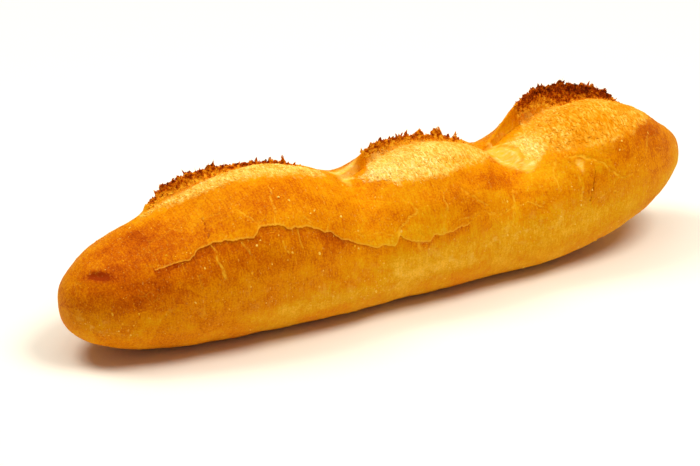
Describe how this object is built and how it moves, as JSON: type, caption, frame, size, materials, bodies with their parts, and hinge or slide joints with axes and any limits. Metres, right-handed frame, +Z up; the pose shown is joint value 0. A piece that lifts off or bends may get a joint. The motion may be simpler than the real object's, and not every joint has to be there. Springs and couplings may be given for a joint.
{
  "type": "baguette",
  "caption": "Short baguette with overlapping slashes along its top, each torn open beside a ragged standing ear, and a narrow flat sole that it rests on.",
  "frame": {"origin": "middle of the loaf's box in X and Y, on the surface that the sole rests on", "axes": "+X along the loaf towards its higher, blunter lobe; +Y towards the side that the ears stand on; +Z up from the sole"},
  "size_m": [0.262, 0.0594, 0.0617],
  "materials": {
    "crust": "golden baked crust, satin, with paler torn crumb and dark ear edges"
  },
  "bodies": {
    "root": {"loaf": "crust"}
  },
  "joints": []
}
